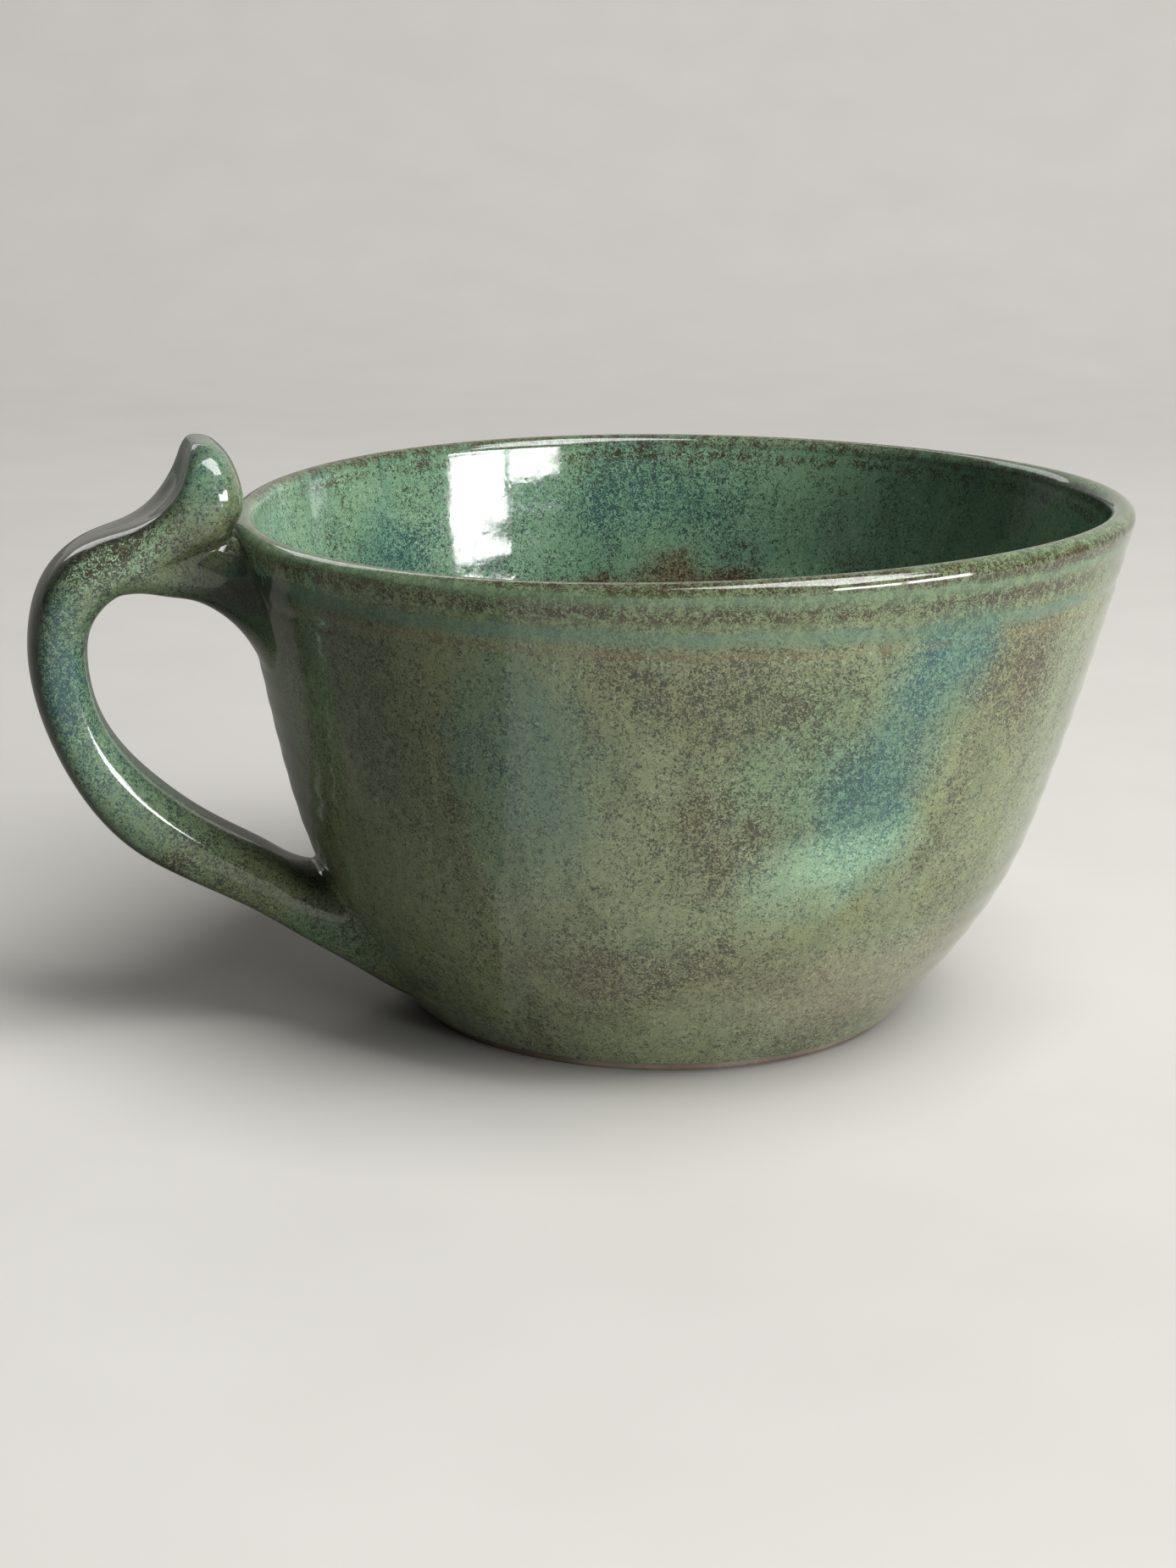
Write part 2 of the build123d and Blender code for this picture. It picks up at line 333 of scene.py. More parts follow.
def outer_coat_mesh(finish):
    """Glaze on the outside, from a soft roll just above the foot to the top of the lip."""
    wall = outer_wall()
    over = lip(9)[1:5]
    surface = np.concatenate([wall, over])
    weight = np.concatenate([np.sin(np.linspace(0, pi, len(wall))) ** 0.5, np.zeros(len(over))])
    roll = arc(surface[0] - outward(surface)[0] * glaze_thickness / 2, glaze_thickness / 2, 190, 290, 5)
    line = np.concatenate([surface, inset(surface, glaze_thickness)[::-1], roll, surface[:1]])
    hidden = np.zeros(len(line) - len(surface))
    sizes = {
        "Around": 300,
        "Ring Depth": 0.035 * mm,
        "Ring Spacing": 4.2 * mm,
        "Waver": 0.9 * mm,
        "Seed": 3.0,
    }
    return throw("outer_glaze_coat", line, np.concatenate([weight, hidden]), finish, **sizes)


def liner_coat_mesh(finish):
    """Glaze on the inside, which runs over the lip and a little way down the outside."""
    proud = 0.06 * mm
    wall = outer_wall(400)
    skirt = wall[wall[:, 1] > height - 6.2 * mm]
    thinning = np.linspace(-0.03 * mm, proud, len(skirt))[:, None]
    skirt = skirt + outward(skirt) * thinning
    over = lip(25, proud)[1:]
    inside = inner_wall()
    inside[:8] += outward(inside[:8]) * np.linspace(proud, 0, 8)[:, None]
    floor = floor_line(8.4 * mm)[1:]
    surface = np.concatenate([skirt, over, inside[1:], floor])
    waver = np.zeros(len(surface))
    first_inside = len(skirt) + len(over)
    waver[first_inside:] = np.clip(np.arange(len(surface) - first_inside) / 25, 0, 1)
    waver[-6:] *= np.linspace(1, 0, 6)
    under = inset(surface, glaze_thickness)[::-1]
    under[:, 0] = np.maximum(under[:, 0], 0)
    line = np.concatenate([surface, under, surface[:1]])
    hidden = np.zeros(len(line) - len(surface))
    sizes = {
        "Around": 228,
        "Ring Depth": 0.015 * mm,
        "Ring Spacing": 5.6 * mm,
        "Waver": 0.5 * mm,
        "Seed": 8.0,
    }
    return throw("liner_glaze_coat", line, np.concatenate([waver, hidden]), finish, **sizes)


def clay_mesh(finish):
    """The stoneware under the glaze, with the foot ring and the recess turned in its underside."""
    recess = np.column_stack([np.linspace(0, 26.2 * mm, 45), np.full(45, 2.6 * mm)])
    inner_edge = arc((27.3 * mm, 0.6 * mm), 0.6 * mm, 180, 270, 6)
    outer_edge = arc((31.2 * mm, 0.6 * mm), 0.6 * mm, 270, 360, 6)
    wall = inset(outer_wall(60), glaze_thickness)
    over = lip(13, -glaze_thickness)[1:-1]
    inside = inset(inner_wall(60), glaze_thickness)
    floor = floor_line(8.0 * mm, 12)[1:]
    foot_side = [(31.8 * mm, 1.5 * mm)]
    line = np.concatenate([recess, inner_edge, outer_edge, foot_side, wall, over, inside, floor])
    line = np.concatenate([line, line[:1]])
    weight = np.zeros(len(line))
    weight[3:42] = 1.0
    sizes = {
        "Around": 240,
        "Ring Depth": 0.07 * mm,
        "Ring Spacing": 1.9 * mm,
        "Waver": 0.2 * mm,
        "Seed": 5.0,
    }
    return throw("stoneware_body", line, weight, finish, **sizes)


# ---------------------------------------------------------------- handle

# Sections of the pulled strap from its lower root, round the ear and up the thumb rest, in
# millimetres: a point on its outer face and one on its inner face, each as reach from the axis
# and height, then half its width, and how deep its outer face is dished for the thumb
strap_sections = [
    (31.0, 1.5, 36.0, 14.5, 13.5, 0.0),
    (36.6, 4.2, 41.2, 17.3, 11.0, 0.0),
    (42.6, 7.9, 45.0, 19.4, 9.0, 0.0),
    (48.0, 11.2, 48.4, 20.6, 7.9, 0.0),
    (53.6, 14.8, 52.0, 22.8, 7.4, 0.0),
    (59.5, 18.0, 56.0, 25.1, 7.1, 0.0),
    (64.6, 20.7, 60.6, 27.9, 7.0, 0.0),
    (69.7, 24.0, 64.8, 31.1, 7.0, 0.0),
    (74.2, 28.6, 68.6, 34.6, 7.0, 0.0),
    (78.5, 35.5, 72.3, 39.3, 7.0, 0.0),
    (81.9, 44.6, 74.8, 45.6, 7.0, 0.0),
    (82.6, 52.9, 75.4, 51.4, 7.0, 0.0),
    (80.6, 60.2, 74.4, 54.9, 7.0, 0.0),
    (76.3, 64.8, 72.0, 57.4, 7.0, 0.3),
    (71.5, 67.0, 67.8, 59.4, 7.2, 0.7),
    (68.8, 68.8, 62.6, 62.2, 7.9, 1.4),
    (67.4, 70.6, 58.2, 65.6, 8.8, 2.2),
    (66.3, 72.3, 56.5, 68.8, 9.0, 2.4),
    (65.2, 74.0, 56.8, 71.8, 8.5, 1.9),
    (64.1, 75.7, 58.0, 74.8, 7.2, 1.0),
    (62.9, 76.9, 59.9, 76.7, 4.4, 0.3),
]

# Sections of the neck that joins the ear to the wall under the rim, from the ear inwards
neck_sections = [
    (73.5, 63.4, 72.0, 57.6, 6.4, 0.0),
    (69.5, 65.2, 69.0, 57.8, 6.6, 0.0),
    (65.5, 66.0, 65.6, 57.2, 6.7, 0.0),
    (62.2, 65.8, 62.4, 56.6, 6.9, 0.0),
    (59.8, 65.4, 60.0, 55.4, 7.4, 0.0),
    (57.8, 65.0, 57.9, 53.8, 8.5, 0.0),
    (56.0, 64.6, 55.8, 51.4, 10.2, 0.0),
    (54.5, 64.2, 53.8, 48.0, 12.4, 0.0),
]


def strap_section(outer, inner, half_width, dish, points=56):
    """Closed section of the strap: a soft rectangle, with its outer face dished."""
    turns = np.linspace(0, 2 * pi, points, endpoint=False)
    across = np.sign(np.cos(turns)) * np.abs(np.cos(turns)) ** 0.68
    through = np.sign(np.sin(turns)) * np.abs(np.sin(turns)) ** 0.68
    middle = (outer + inner) / 2
    half = (outer - inner) / 2
    sunk = np.where(through > 0, dish * (1 - across**2) / np.linalg.norm(half), 0)
    reach_and_height = middle + np.outer(through - sunk * through, half)
    return np.column_stack([-reach_and_height[:, 0], half_width * across, reach_and_height[:, 1]])


def strap_mesh(name, sections, count):
    """A closed strap through its sections."""
    stations = smooth_line(np.array(sections) * mm, count)
    rings = [strap_section(s[0:2], s[2:4], s[4], s[5]) for s in stations]
    around = len(rings[0])
    faces = [list(range(around))[::-1], [(count - 1) * around + i for i in range(around)]]
    for ring in range(count - 1):
        for i in range(around):
            a, b = ring * around + i, ring * around + (i + 1) % around
            faces.append([a, b, b + around, a + around])
    mesh = bpy.data.meshes.new(name)
    mesh.from_pydata(np.concatenate(rings), [], faces)
    return facing_out(mesh)


def wall_patch(name, low, high, half_width):
    """A patch just under the wall's surface, for the handle's roots to be smoothed into."""
    sunk = 0.1 * mm
    deep = 1.5 * mm
    count = 60
    last = count - 1
    levels = np.linspace(low, high, count)
    turns = pi + np.linspace(-half_width, half_width, count) / rim_radius
    shape = bmesh.new()
    corners = []
    for depth in (sunk, deep):
        for level in levels:
            radius = wall_radius(level) - depth
            row = [shape.verts.new((radius * cos(t), radius * sin(t), level)) for t in turns]
            corners.append(row)
    sheet, under = corners[:count], corners[count:]
    for rows in (sheet, under):
        for lower, upper in zip(rows, rows[1:]):
            for i in range(last):
                shape.faces.new([lower[i], lower[i + 1], upper[i + 1], upper[i]])
    for j in range(last):
        for i in (0, last):
            shape.faces.new([sheet[j][i], sheet[j + 1][i], under[j + 1][i], under[j][i]])
            shape.faces.new([sheet[i][j], sheet[i][j + 1], under[i][j + 1], under[i][j]])
    bmesh.ops.recalc_face_normals(shape, faces=shape.faces)
    mesh = bpy.data.meshes.new(name)
    shape.to_mesh(mesh)
    shape.free()
    return mesh


def joined(name, meshes):
    """One object that holds several meshes."""
    shape = bmesh.new()
    for mesh in meshes:
        shape.from_mesh(mesh)
    mesh = bpy.data.meshes.new(name)
    shape.to_mesh(mesh)
    shape.free()
    obj = bpy.data.objects.new(name, mesh)
    bpy.context.scene.collection.objects.link(obj)
    return obj


def sponge(mesh, weight, rounds):
    """Smooths a mesh as a wet sponge does, more where the weight is higher."""
    points = points_of(mesh)
    edges = np.empty(len(mesh.edges) * 2, np.int32)
    mesh.edges.foreach_get("vertices", edges)
    first, second = edges.reshape(-1, 2).T
    count = np.bincount(edges, minlength=len(points))[:, None]
    for _ in range(rounds):
        total = np.zeros_like(points)
        for axis in range(3):
            total[:, axis] = np.bincount(first, points[second, axis], len(points))
            total[:, axis] += np.bincount(second, points[first, axis], len(points))
        points += (total / count - points) * weight[:, None]
    move_points(mesh, points)


def keep_in_wall(mesh, depth):
    """Flattens what runs deeper into the wall than a depth, so nothing comes out inside."""
    points = points_of(mesh)
    radius = np.hypot(points[:, 0], points[:, 1])
    over_lip = np.clip((points[:, 2] - lip_level) / lip_radius, 0, 1)
    surface = wall_radius(np.minimum(points[:, 2], lip_level))
    surface -= lip_radius * (1 - np.sqrt(1 - over_lip**2))
    least = np.where(points[:, 2] < height, surface - depth, 0)
    grow = np.maximum(least / np.maximum(radius, 1e-9), 1)
    points[:, :2] *= grow[:, None]
    move_points(mesh, points)


def handle_mesh(finish):
    """Strap, thumb rest and neck, with both ends smoothed into the wall."""
    parts = [
        strap_mesh("strap", strap_sections, 170),
        strap_mesh("neck", neck_sections, 60),
        wall_patch("upper_patch", 41 * mm, 65 * mm, 19 * mm),
        wall_patch("lower_patch", 2.2 * mm, 27 * mm, 17 * mm),
    ]
    lump = joined("handle_lump", parts)
    remesh = lump.modifiers.new("wet clay", "REMESH")
    remesh.mode = "VOXEL"
    remesh.voxel_size = 0.38 * mm
    mesh = plain_mesh(lump, "pulled_handle")
    bpy.data.objects.remove(lump)
    bite = 0.9 * mm
    root_reach = 7 * mm
    keep_in_wall(mesh, bite)
    points = points_of(mesh)
    off_wall = np.hypot(points[:, 0], points[:, 1]) - wall_radius(np.minimum(points[:, 2], lip_level))
    near_root = np.clip(1 - off_wall / root_reach, 0, 1) * (points[:, 2] < lip_level + 1 * mm)
    near_root *= np.where(points[:, 2] < height / 2, 0.6, 1.0)
    sponge(mesh, 0.08 + 0.55 * near_root, 30)
    keep_in_wall(mesh, bite)
    mesh.materials.append(finish)
    return mark_outer_face(facing_out(mesh))


def mark_outer_face(mesh):
    """Marks the face of the strap that looks away from the middle of its loop, which the glaze darkens
    with painted shade.
    """
    points = points_of(mesh)
    normals = np.empty(len(points) * 3, np.float32)
    mesh.vertex_normals.foreach_get("vector", normals)
    loop_middle = np.array([-58, 0, 47]) * mm
    least_facing, facing_fade = 0.62, 0.25
    neck_end, neck_fade = -60 * mm, 4 * mm
    away = points - loop_middle
    away[:, 1] = 0
    away /= np.linalg.norm(away, axis=1)[:, None]
    facing = np.sum(normals.reshape(-1, 3) * away, axis=1)
    shown = np.clip((facing - least_facing) / facing_fade, 0, 1)
    shown *= np.clip((neck_end - points[:, 0]) / neck_fade, 0, 1)
    mark = mesh.attributes.new("outer_face", "FLOAT", "POINT")
    mark.data.foreach_set("value", shown.astype(np.float32))
    return mesh


# ---------------------------------------------------------------- finishes


class Finish:
    """A material and its nodes."""

    def __init__(self, name):
        self.material = bpy.data.materials.new(name)
        self.material.use_nodes = True
        self.tree = self.material.node_tree
        self.shader = self.tree.nodes["Principled BSDF"]
        self.place = self.add("ShaderNodeTexCoord").outputs["Object"]

    def add(self, kind, inputs=None, **settings):
        return add_node(self.tree, kind, inputs, **settings)

    def noise(self, size, detail=2.0, distortion=0.0, stretch=(1, 1, 1), shift=0.0, rough=0.5):
        """Noise whose lumps are about size across."""
        inputs = {"Vector": self.place, "Scale": tuple(stretch), "Location": (shift, shift, shift)}
        where = self.add("ShaderNodeMapping", inputs).outputs[0]
        inputs = {"Vector": where, "Scale": 1 / size, "Detail": detail, "Distortion": distortion}
        inputs["Roughness"] = rough
        return self.add("ShaderNodeTexNoise", inputs)

    def ramp(self, value, low, high, first=0.0, last=1.0):
        """Maps low to first and high to last, smoothly, and holds beyond them."""
        inputs = {"Value": value, 1: low, 2: high, 3: first, 4: last}
        return self.add("ShaderNodeMapRange", inputs, interpolation_type="SMOOTHSTEP").outputs[0]

    def math(self, operation, first, second=0.0):
        node = self.add("ShaderNodeMath", {0: first, 1: second}, operation=operation, use_clamp=False)
        return node.outputs[0]

    def vector(self, operation, inputs, output=0):
        return self.add("ShaderNodeVectorMath", inputs, operation=operation).outputs[output]

    def from_axis(self, x, y):
        """Distance from the upright axis."""
        flat = self.add("ShaderNodeCombineXYZ", {0: x, 1: y}).outputs[0]
        return self.vector("LENGTH", {0: flat}, "Value")

    def mix(self, share, first, second):
        """Colours mixed by a share."""
        inputs = {0: share, 6: colour(first), 7: colour(second)}
        return self.add("ShaderNodeMix", inputs, data_type="RGBA").outputs[2]

    def lighter(self, first, times):
        """A colour made so many times lighter."""
        inputs = {0: 1.0, 6: colour(first), 7: colour((times, times, times))}
        return self.add("ShaderNodeMix", inputs, data_type="RGBA", blend_type="MULTIPLY").outputs[2]

    def bump(self, height_map, depth, under=None):
        inputs = {"Height": height_map, "Distance": depth, "Strength": 1.0}
        if under is not None:
            inputs["Normal"] = under
        return self.add("ShaderNodeBump", inputs).outputs[0]


def colour(value):
    """A colour with its alpha, or a socket as it is."""
    return value if isinstance(value, bpy.types.NodeSocket) else (*value, 1.0)


sage = (0.165, 0.195, 0.110)
olive = (0.148, 0.166, 0.082)
moss = (0.095, 0.125, 0.068)
mint = (0.215, 0.340, 0.220)
sea_green = (0.115, 0.210, 0.130)
fern = (0.150, 0.245, 0.150)
teal = (0.070, 0.160, 0.120)
deep_blue = (0.020, 0.065, 0.075)
bottle_green = (0.030, 0.050, 0.032)
umber = (0.135, 0.115, 0.068)
brown = (0.105, 0.078, 0.042)
dark_brown = (0.040, 0.027, 0.016)
# Near-black of the painted shade in the crease at the handle's neck
neck_shade_black = (0.008, 0.011, 0.011)
# Near-black of the painted shade on the strap's outer face
outer_face_shade = (0.020, 0.019, 0.014)
rose_brown = (0.200, 0.170, 0.125)
rim_green = (0.150, 0.190, 0.100)
rim_olive = (0.060, 0.075, 0.040)
buff_clay = (0.19, 0.155, 0.12)
toasted_clay = (0.12, 0.09, 0.065)
dark_grog = (0.10, 0.06, 0.035)
pale_grog = (0.42, 0.34, 0.25)


def on_wall(angle, level):
    """Point on the outside of the bowl at an angle in degrees and a height in millimetres."""
    radius = float(wall_radius(level * mm))
    return radius * cos(radians(angle)), radius * sin(radians(angle)), level * mm


def pool(finish, where, angle, place, across, tall, slant=0.0, edge=0.25):
    """Share, from 0 to 1, of a soft pool of colour round a place on the wall."""
    inputs = {
        "Vector": where,
        "Location": place,
        "Rotation": (radians(slant), 0.0, radians(angle)),
        "Scale": (40 * mm, across * mm / 2, tall * mm / 2),
    }
    seat = finish.add("ShaderNodeMapping", inputs, vector_type="TEXTURE").outputs[0]
    return finish.ramp(finish.vector("LENGTH", {0: seat}, "Value"), 1.15, edge)


def glaze(name, ground, pools, shades, seed):
    """Reactive glaze: a ground of green, pools of other colours, fine worm-like specks, and patches of
    painted shade.
    """
    finish = Finish(name)
    shift = seed * 0.37

    # Places are stirred a little before they are looked up, so that no pool has a plain edge
    stir = finish.noise(9 * mm, 3.0, 0.0, shift=shift).outputs["Color"]
    centred = finish.vector("SUBTRACT", {0: stir, 1: (0.5, 0.5, 0.5)})
    moved = finish.vector("SCALE", {0: centred, "Scale": 11 * mm})
    where = finish.vector("ADD", {0: finish.place, 1: moved})

    runs = finish.noise(11 * mm, 3.0, 0.4, (1, 1, 0.35), shift + 0.11).outputs["Fac"]
    clouds = finish.noise(20 * mm, 2.0, 0.6, shift=shift + 0.23).outputs["Fac"]
    body = finish.mix(finish.ramp(clouds, 0.35, 0.65), ground[0], ground[1])
    body = finish.mix(finish.math("MULTIPLY", finish.ramp(runs, 0.45, 0.7), 0.6), body, ground[2])
    streaks = finish.noise(4.2 * mm, 2.0, 0.3, (1, 1, 0.14), shift + 0.31).outputs["Fac"]
    body = finish.mix(finish.math("MULTIPLY", finish.ramp(streaks, 0.48, 0.68), 0.45), body, ground[2])
    speck = finish.mix(finish.ramp(runs, 0.4, 0.6), bottle_green, dark_brown)
    density = finish.ramp(runs, 0.3, 0.75, 0.25, 0.65)

    for angle, place, across, tall, slant, pool_colour, speck_colour, strength, thick in pools:
        share = finish.math("MULTIPLY", pool(finish, where, angle, place, across, tall, slant), strength)
        body = finish.mix(share, body, pool_colour)
        speck = finish.mix(share, speck, speck_colour)
        more = finish.math("MULTIPLY", share, thick)
        density = finish.math("ADD", density, more)

    # Fine specks with worm-like edges, coarser ones between them, and pale crystals
    worms = finish.noise(0.40 * mm, 2.5, 1.6, shift=shift + 0.5, rough=0.6).outputs["Fac"]
    clots = finish.noise(1.7 * mm, 3.0, 0.8, (1, 1, 0.7), shift + 0.7, 0.65).outputs["Fac"]
    cut = finish.math("SUBTRACT", 0.615, finish.math("MULTIPLY", density, 0.16))
    over = finish.math("SUBTRACT", finish.math("ADD", worms, finish.math("MULTIPLY", clots, 0.28)), 0.14)
    dark = finish.ramp(finish.math("SUBTRACT", over, cut), -0.02, 0.045)
    pale = finish.ramp(worms, 0.44, 0.30)
    body = finish.mix(finish.math("MULTIPLY", pale, 0.7), body, finish.lighter(body, 1.8))
    body = finish.mix(finish.math("MULTIPLY", dark, 0.95), body, speck)

    # The strap's outer face is darkened: partly painted shade, partly a dark glaze break on the edge
    outer_face = finish.add("ShaderNodeAttribute", attribute_name="outer_face").outputs["Fac"]
    body = finish.mix(finish.math("MULTIPLY", outer_face, 0.75), body, outer_face_shade)
    body = banded_rim(finish, body, where, worms, clots)

    # Painted shade lies over everything, the bands too: partly painted shadow and dark reflection, partly
    # darker glaze
    for angle, place, across, tall, slant, shade_colour, strength in shades:
        share = pool(finish, where, angle, place, across, tall, slant)
        body = finish.mix(finish.math("MULTIPLY", share, strength), body, shade_colour)

    ripple = finish.noise(7 * mm, 1.0, shift=shift + 0.9).outputs["Fac"]
    peel = finish.noise(1.1 * mm, 1.0, shift=shift + 1.1).outputs["Fac"]
    normal = finish.bump(peel, 0.010 * mm, finish.bump(ripple, 0.06 * mm))
    roughness = finish.ramp(clots, 0.35, 0.7, 0.05, 0.13)
    links = finish.tree.links
    links.new(body, finish.shader.inputs["Base Color"])
    links.new(roughness, finish.shader.inputs["Roughness"])
    links.new(normal, finish.shader.inputs["Normal"])
    finish.shader.inputs["IOR"].default_value = 1.52
    finish.shader.inputs["Specular IOR Level"].default_value = 0.55
    return finish.material


def banded_rim(finish, body, where, worms, clots):
    """Bands under the rim, where the liner runs over it: brown on the lip, then green and blue."""
    stirred = finish.add("ShaderNodeSeparateXYZ", {0: where}).outputs["Z"]
    axis = (-lean * cos(lean_heading), -lean * sin(lean_heading), 0.0)
    centred = finish.vector("ADD", {0: finish.place, 1: axis})
    place = finish.add("ShaderNodeSeparateXYZ", {0: centred}).outputs
    radius = finish.from_axis(place[0], place[1])
    on_bowl = finish.ramp(radius, 60.5 * mm, 59.0 * mm)
    outside = finish.math("MULTIPLY", finish.ramp(radius, 54.6 * mm, 55.6 * mm), on_bowl)
    stir = 0.13
    stirred_part = finish.math("MULTIPLY", stirred, stir)
    level = finish.math("ADD", stirred_part, finish.math("MULTIPLY", place[2], 1 - stir))
    below = finish.math("DIVIDE", finish.math("SUBTRACT", height, level), mm)
    grain = finish.math("ADD", finish.math("MULTIPLY", worms, 0.65), finish.math("MULTIPLY", clots, 0.35))

    inside = finish.math("SUBTRACT", on_bowl, outside)
    patches = finish.noise(13 * mm, 1.0, shift=2.7).outputs["Fac"]
    patchy = finish.math("MULTIPLY", on_bowl, finish.ramp(patches, 0.38, 0.58, 0.25, 1.0))

    def band(middle, half, strength, specked=0.0, side=on_bowl):
        away = finish.math("ABSOLUTE", finish.math("SUBTRACT", below, middle))
        share = finish.math("MULTIPLY", finish.ramp(away, half, half * 0.3), side)
        broken = finish.ramp(grain, 0.46, 0.54, 1.0 - specked, 1.0)
        return finish.math("MULTIPLY", finish.math("MULTIPLY", share, broken), strength)

    olive_green = finish.mix(finish.ramp(grain, 0.44, 0.54), rim_green, rim_olive)
    body = finish.mix(band(1.0, 8.5, 0.85, 0.0, outside), body, olive_green)
    body = finish.mix(band(8.6, 0.7, 0.85, 1.0, finish.math("MULTIPLY", outside, patchy)), body, brown)
    body = finish.mix(band(6.5, 1.3, 0.45, 0.0, finish.math("MULTIPLY", outside, patchy)), body, teal)
    body = finish.mix(band(3.8, 1.1, 0.9, 1.0, finish.math("MULTIPLY", outside, patchy)), body, dark_brown)
    body = finish.mix(band(2.6, 1.0, 0.9, 1.0, finish.math("MULTIPLY", inside, patchy)), body, dark_brown)
    body = finish.mix(band(2.0, 0.7, 0.35, 0.3, outside), body, sea_green)
    return finish.mix(band(0.3, 1.5, 0.9, 0.65), body, dark_brown)


def outer_glaze():
    """The glaze outside: sage and olive, a teal run, brown breaks, and painted shade by the handle's neck.
    """
    pools = [
        (-68, on_wall(-68, 58), 15, 26, 14, teal, deep_blue, 0.8, 0.5),
        (-73, on_wall(-73, 48), 15, 26, 12, teal, deep_blue, 0.65, 0.4),
        (-78, on_wall(-78, 37), 17, 24, 18, teal, deep_blue, 0.8, 0.55),
        (-88, on_wall(-88, 45), 22, 30, 0, sea_green, bottle_green, 0.5, 0.1),
        (-81, on_wall(-81, 31), 26, 13, 20, mint, teal, 0.75, -0.15),
        (-96, on_wall(-96, 53), 30, 17, 0, umber, dark_brown, 0.35, 1.4),
        (-57, on_wall(-57, 54), 18, 24, 0, umber, dark_brown, 0.35, 1.3),
        (-95, on_wall(-95, 34), 18, 20, 0, umber, dark_brown, 0.35, 1.0),
        (-103, on_wall(-103, 17), 42, 11, 0, umber, dark_brown, 0.35, 1.1),
        (-122, on_wall(-122, 44), 22, 40, 0, teal, deep_blue, 0.5, 0.1),
        (-60, on_wall(-60, 12), 60, 16, 0, rose_brown, brown, 0.45, 0.0),
        (60, on_wall(60, 50), 40, 30, 10, teal, deep_blue, 0.6, 0.4),
        (20, on_wall(20, 30), 50, 26, 0, olive, dark_brown, 0.6, 0.4),
        (120, on_wall(120, 35), 44, 30, 0, sea_green, deep_blue, 0.5, 0.2),
        (150, on_wall(150, 52), 30, 18, 0, brown, dark_brown, 0.5, 0.5),
        (0, on_wall(0, 56), 36, 16, 0, mint, teal, 0.4, 0.1),
        (-20, on_wall(-20, 40), 24, 40, 0, sage, brown, 0.6, 0.1),
        (180, (-84 * mm, 0.0, 38 * mm), 60, 66, 0, sea_green, deep_blue, 0.7, 0.4),
        (-90, (-70 * mm, 0.0, 62 * mm), 22, 9, 20, mint, dark_brown, 0.6, 0.8),
        (-90, (-77 * mm, 0.0, 48 * mm), 7, 18, 0, teal, deep_blue, 0.5, 0.8),
        (-90, (-61 * mm, 0.0, 72 * mm), 15, 13, 0, teal, deep_blue, 0.6, 0.1),
        (180, (-50 * mm, 0.0, 12 * mm), 50, 12, 0, sea_green, bottle_green, 0.5, 0.3),
        (-90, (-66 * mm, 0.0, 22 * mm), 22, 5, 30, olive, dark_brown, 0.5, 0.9),
    ]
    # Painted shade on the wall beside the handle and in the crease of its neck, partly dark pooled glaze
    shades = [
        (-154, on_wall(-154, 40), 60, 100, 0, bottle_green, 0.35),
        (-90, (-56.5 * mm, 0.0, 56 * mm), 17, 25, 0, neck_shade_black, 0.80),
    ]
    return glaze("outer_reactive_glaze", (sage, olive, moss), pools, shades, 1)


def liner_glaze():
    """The glaze inside: mint and teal, brown low on the wall and under the back of the rim, and painted
    light and shade.
    """
    pools = [
        # Pale mint high inside on the handle's side: partly the glaze's own, partly painted light where
        # the light falls
        (165, on_wall(165, 52), 52, 46, 0, mint, deep_blue, 0.85, 0.0),
        (124, on_wall(124, 51), 20, 18, 0, teal, deep_blue, 0.65, 0.6),
        (108, on_wall(108, 52), 36, 26, 0, mint, deep_blue, 0.45, 0.3),
        (78, on_wall(78, 57), 52, 15, 0, sea_green, deep_blue, 0.7, 0.5),
        (92, on_wall(92, 44), 30, 6, -4, umber, dark_brown, 0.95, 0.4),
        (66, on_wall(66, 46), 34, 7, 4, umber, dark_brown, 0.95, 0.5),
        (80, on_wall(80, 42.5), 74, 9, 2, umber, dark_brown, 0.95, 0.4),
        (-60, on_wall(-60, 40), 60, 40, 0, sea_green, deep_blue, 0.5, 0.4),
        (-150, on_wall(-150, 40), 50, 30, 0, teal, deep_blue, 0.5, 0.4),
    ]
    # Painted shade on the inside wall away from the handle, partly darker glaze
    shades = [
        (24, on_wall(24, 50), 70, 60, 0, bottle_green, 0.60),
    ]
    return glaze("liner_reactive_glaze", (sea_green, fern, teal), pools, shades, 4)


def bare_clay():
    """Fired stoneware without glaze: buff, toasted in patches, with grog and turning scratches."""
    finish = Finish("bare_stoneware")
    grog = finish.noise(0.5 * mm, 3.0, 0.2, shift=0.2, rough=0.7).outputs["Fac"]
    toast = finish.noise(9 * mm, 3.0, 0.3, shift=0.6).outputs["Fac"]
    body = finish.mix(finish.ramp(toast, 0.35, 0.7), buff_clay, toasted_clay)
    body = finish.mix(finish.ramp(grog, 0.6, 0.72, 0.0, 0.7), body, dark_grog)
    body = finish.mix(finish.ramp(grog, 0.38, 0.26, 0.0, 0.5), body, pale_grog)
    place = finish.add("ShaderNodeSeparateXYZ", {0: finish.place}).outputs
    radius = finish.from_axis(place[0], place[1])
    scratch = finish.add("ShaderNodeCombineXYZ", {0: radius}).outputs[0]
    inputs = {"Vector": scratch, "Scale": 1 / (0.35 * mm), "Detail": 2.0}
    lines = finish.add("ShaderNodeTexNoise", inputs).outputs["Fac"]
    normal = finish.bump(lines, 0.06 * mm, finish.bump(grog, 0.08 * mm))
    links = finish.tree.links
    links.new(body, finish.shader.inputs["Base Color"])
    links.new(finish.ramp(grog, 0.3, 0.7, 0.75, 0.95), finish.shader.inputs["Roughness"])
    links.new(normal, finish.shader.inputs["Normal"])
    return finish.material


# ---------------------------------------------------------------- stage


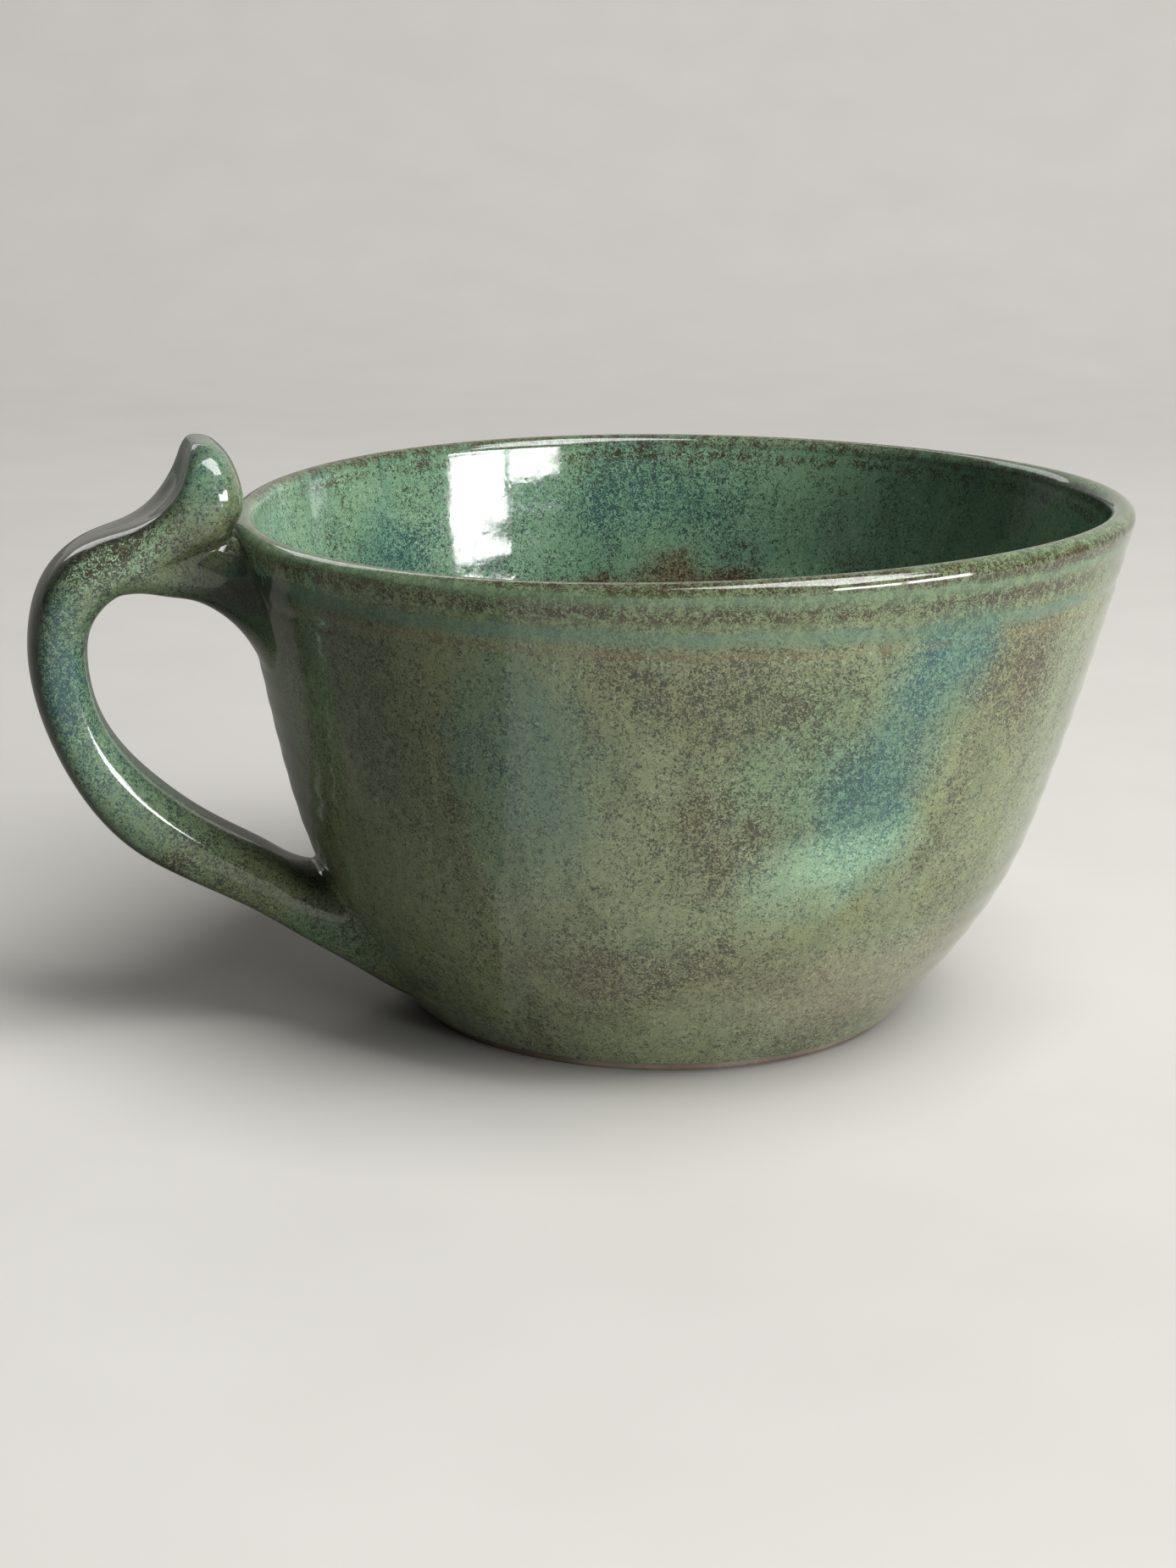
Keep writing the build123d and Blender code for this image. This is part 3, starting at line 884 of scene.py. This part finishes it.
def stage_floor():
    """A pale floor that curves up into a backdrop."""
    steps = 24
    profile = [(-1.6, 0.0), (0.55, 0.0)]
    for step in range(1, steps + 1):
        turn = pi / 2 * step / steps
        profile.append((0.55 + 0.5 * sin(turn), 0.5 - 0.5 * cos(turn)))
    profile.append((1.05, 1.8))
    verts = [(side * 2.4, y, z) for y, z in profile for side in (-1, 1)]
    faces = [(2 * i, 2 * i + 1, 2 * i + 3, 2 * i + 2) for i in range(len(profile) - 1)]
    mesh = bpy.data.meshes.new("studio_floor")
    mesh.from_pydata([turned_by(v, lean_heading) for v in verts], [], faces)
    mesh.shade_smooth()
    finish = Finish("pale_studio_paper")
    grain = finish.noise(30 * mm, 2.0).outputs["Fac"]
    body = finish.mix(grain, (0.46, 0.447, 0.42), (0.50, 0.487, 0.46))
    finish.tree.links.new(body, finish.shader.inputs["Base Color"])
    finish.shader.inputs["Roughness"].default_value = 0.85
    mesh.materials.append(finish.material)
    floor = bpy.data.objects.new("studio_floor", mesh)
    bpy.context.scene.collection.objects.link(floor)


def turned_by(point, angle):
    """A point turned about the bowl's axis."""
    return tuple(Matrix.Rotation(angle, 3, "Z") @ Vector(point))


def softbox(name, heading, rise, distance, width, tall, power, tint=(1.0, 1.0, 1.0)):
    """A rectangular light that faces the mug from a heading and a rise in degrees."""
    light = bpy.data.lights.new(name, "AREA")
    light.shape = "RECTANGLE"
    light.size = width
    light.size_y = tall
    light.energy = power
    light.color = tint
    turn, up = radians(heading), radians(rise)
    direction = Vector((cos(up) * cos(turn), cos(up) * sin(turn), sin(up)))
    lamp = bpy.data.objects.new(name, light)
    lamp.location = direction * distance + Vector((0, 0, height / 2))
    lamp.rotation_euler = direction.to_track_quat("Z", "Y").to_euler()
    bpy.context.scene.collection.objects.link(lamp)


def lights():
    """A low window of two panes and a high soft window at the front right, in a dim room."""
    softbox("left_pane", -41.7, 8.0, 1.1, 0.36, 0.29, 7.0)
    softbox("right_pane", -60.3, 7.0, 1.1, 0.30, 0.25, 5.2)
    softbox("high_window", -50, 48, 1.3, 0.6, 0.5, 11.5)
    softbox("overhead", -45, 72, 1.3, 0.8, 0.6, 15)
    softbox("back_fill", 98, 32, 1.3, 0.9, 0.6, 4.0)
    world = bpy.data.worlds.new("dim_room")
    world.use_nodes = True
    background = world.node_tree.nodes["Background"]
    background.inputs["Color"].default_value = (0.80, 0.82, 0.85, 1.0)
    background.inputs["Strength"].default_value = 0.03
    bpy.context.scene.world = world


def dark_sweep():
    """A dark grey sweep left of and behind the mug, seen only in the mug's gloss."""
    panels = 16
    first, spread = 70, 150
    headings = [radians(first + spread * step / panels) for step in range(panels + 1)]
    near, far = 36 * mm, 420 * mm
    low, high = 0.5 * mm, 100 * mm
    profile = [(near, low), (far, low), (far, high)]
    verts = [(reach * cos(turn), reach * sin(turn), z) for turn in headings for reach, z in profile]
    faces = []
    for panel in range(panels):
        for row in range(2):
            corner = 3 * panel + row
            faces.append((corner, corner + 1, corner + 4, corner + 3))
    mesh = bpy.data.meshes.new("dark_sweep")
    mesh.from_pydata(verts, [], faces)
    finish = Finish("grey_felt")
    fuzz = finish.noise(3 * mm, 2.0).outputs["Fac"]
    body = finish.mix(fuzz, (0.120, 0.115, 0.108), (0.150, 0.145, 0.135))
    finish.tree.links.new(body, finish.shader.inputs["Base Color"])
    finish.shader.inputs["Roughness"].default_value = 1.0
    mesh.materials.append(finish.material)
    sweep = bpy.data.objects.new("dark_sweep", mesh)
    sweep.visible_camera = False
    sweep.visible_shadow = False
    sweep.visible_diffuse = False
    bpy.context.scene.collection.objects.link(sweep)


def camera():
    """The view from a little above the rim, with the handle at the left and a little nearer."""
    yaw, pitch, roll = radians(-1.80), radians(15.02), radians(0.69)
    forward = Vector(turned_by((sin(yaw) * cos(pitch), cos(yaw) * cos(pitch), -sin(pitch)), lean_heading))
    level_right = Vector(turned_by((cos(yaw), -sin(yaw), 0.0), lean_heading))
    level_up = level_right.cross(forward)
    right = level_right * cos(roll) + level_up * sin(roll)
    up = level_up * cos(roll) - level_right * sin(roll)
    distance, rise = 367.2 * mm, 126.7 * mm
    place = Vector(turned_by((lean, -distance, rise), lean_heading))
    data = bpy.data.cameras.new("camera")
    data.lens = 66.16
    data.sensor_width = 36.0
    data.clip_start = 0.01
    view = bpy.data.objects.new("camera", data)
    axes = Matrix((right, up, -forward)).transposed()
    view.matrix_world = Matrix.Translation(place) @ axes.to_4x4()
    bpy.context.scene.collection.objects.link(view)
    bpy.context.scene.camera = view


wheel = wheel_tree()
outside = outer_glaze()
finished("outer_glaze_coat", outer_coat_mesh(outside), "outer_glaze", "outer_glaze")
finished("liner_glaze_coat", liner_coat_mesh(liner_glaze()), "liner_glaze", "liner_glaze")
finished("stoneware_body", clay_mesh(bare_clay()), "clay", "bowl")
handle = handle_mesh(outside)
finished("pulled_handle", handle, "glazed_clay", "handle", "thumb_rest", "upper_coil", "lower_coil")
stage_floor()
dark_sweep()
lights()
camera()
bpy.context.scene.view_settings.view_transform = "Standard"
